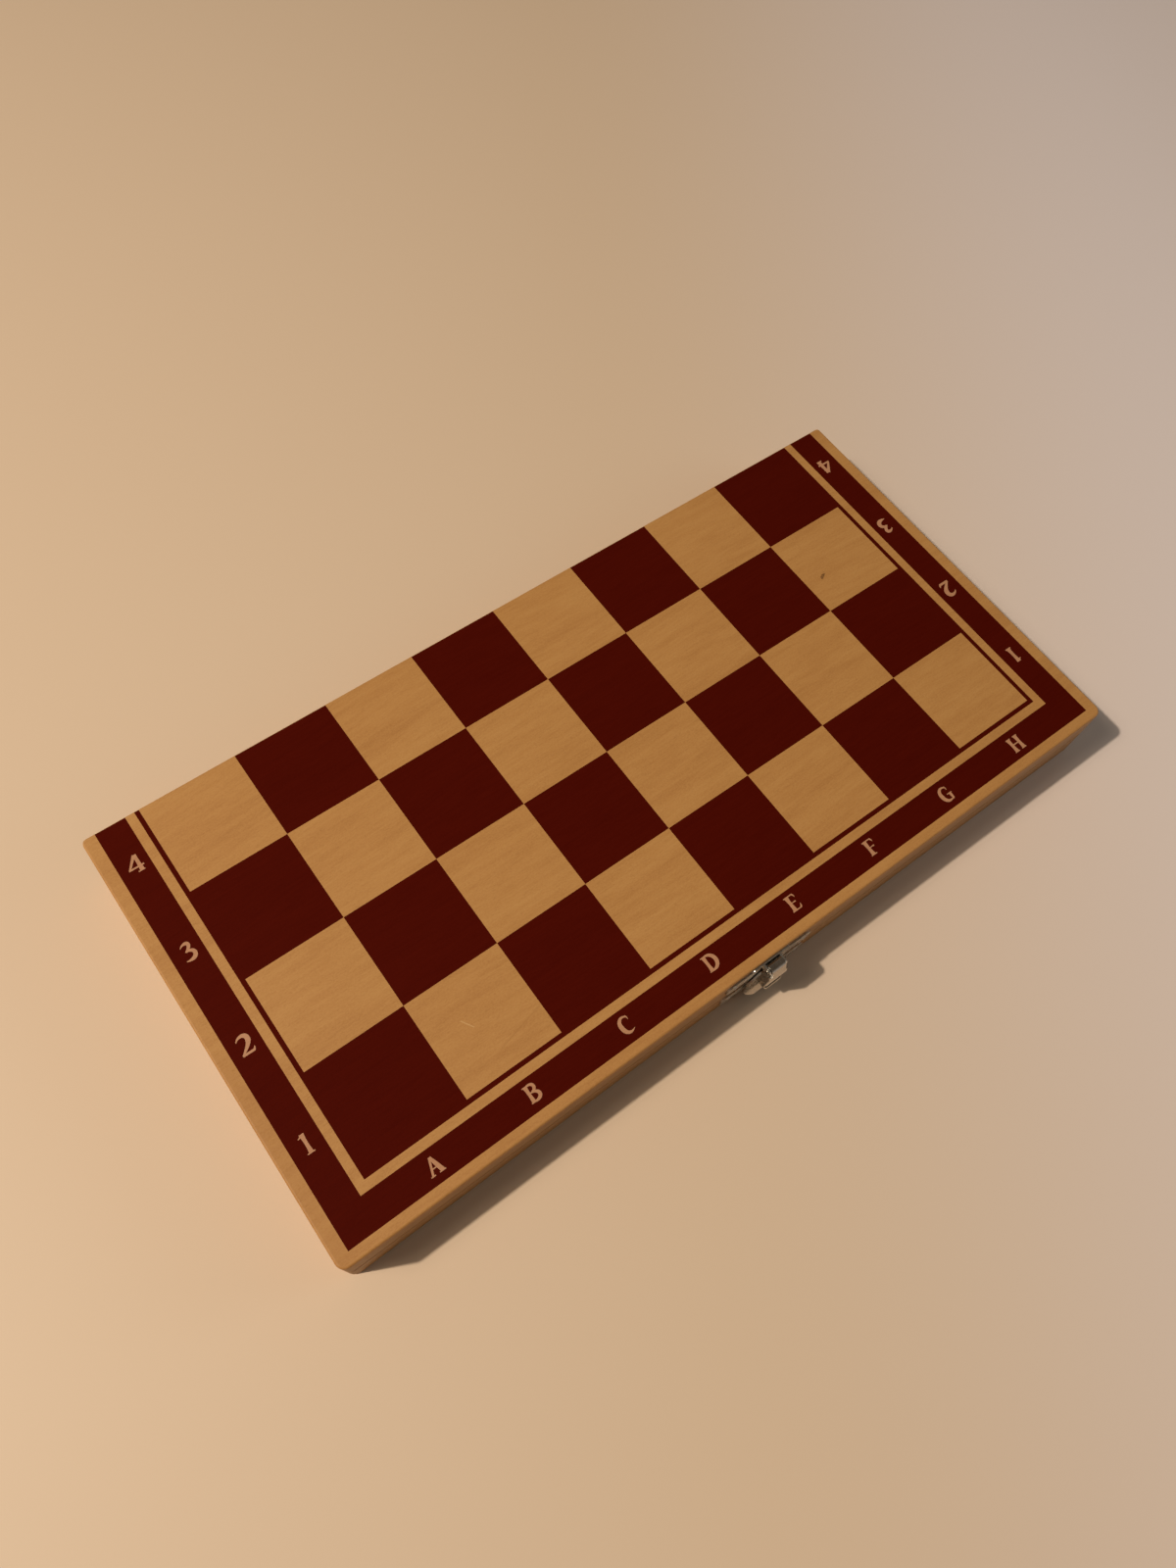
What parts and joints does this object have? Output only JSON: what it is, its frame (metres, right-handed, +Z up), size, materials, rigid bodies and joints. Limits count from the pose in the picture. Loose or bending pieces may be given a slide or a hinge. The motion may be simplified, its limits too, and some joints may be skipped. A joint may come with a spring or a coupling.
{
  "type": "folding chess and backgammon board",
  "caption": "Folding wooden game case: a printed chess board outside, backgammon points inside, butt hinges along the fold and a hasp on the front.",
  "frame": {"origin": "centre of the closed case's underside, leaving out the hasp and the hinge barrels", "axes": "+X along the fold from file A to file H, +Y from the hasp to the hinges, +Z up"},
  "size_m": [0.29, 0.1511, 0.0254],
  "materials": {
    "beech_panel": "clear satin lacquer",
    "beech_rail": "clear satin lacquer",
    "burgundy_print": "printed, satin",
    "hasp_nickel": "nickel plated",
    "hinge_nickel": "nickel plated",
    "steel_fastener": "bright zinc"
  },
  "bodies": {
    "lower_half": {"lower_panel": "beech_panel", "lower_front_rail": "beech_rail", "lower_back_rail": "beech_rail", "lower_left_rail": "beech_rail", "lower_right_rail": "beech_rail", "lower_chess_print": "burgundy_print", "lower_point_print": "burgundy_print", "hasp_lower_plate": "hasp_nickel", "hasp_lower_nails": "steel_fastener", "left_hinge_lower_leaf": "hinge_nickel", "right_hinge_lower_leaf": "hinge_nickel", "left_hinge_lower_screws": "steel_fastener", "right_hinge_lower_screws": "steel_fastener", "left_hinge_pin": "hinge_nickel", "right_hinge_pin": "hinge_nickel"},
    "upper_half": {"upper_panel": "beech_panel", "upper_front_rail": "beech_rail", "upper_back_rail": "beech_rail", "upper_left_rail": "beech_rail", "upper_right_rail": "beech_rail", "upper_chess_print": "burgundy_print", "upper_point_print": "burgundy_print", "hasp_upper_plate": "hasp_nickel", "hasp_upper_nails": "steel_fastener", "hasp_pin": "hasp_nickel", "left_hinge_upper_leaf": "hinge_nickel", "right_hinge_upper_leaf": "hinge_nickel", "left_hinge_upper_screws": "steel_fastener", "right_hinge_upper_screws": "steel_fastener"},
    "hasp_flap": {"hasp_flap": "hasp_nickel"}
  },
  "joints": [
    {"name": "fold", "type": "hinge", "parent": "lower_half", "child": "upper_half", "pos_m": [0, 0.07215, 0.0127], "axis": [-1, 0, 0], "range_deg": [0, 180]},
    {"name": "hasp_swing", "type": "hinge", "parent": "upper_half", "child": "hasp_flap", "pos_m": [0, -0.07459, 0.0224], "axis": [-1, 0, 0], "range_deg": [0, 150]}
  ]
}
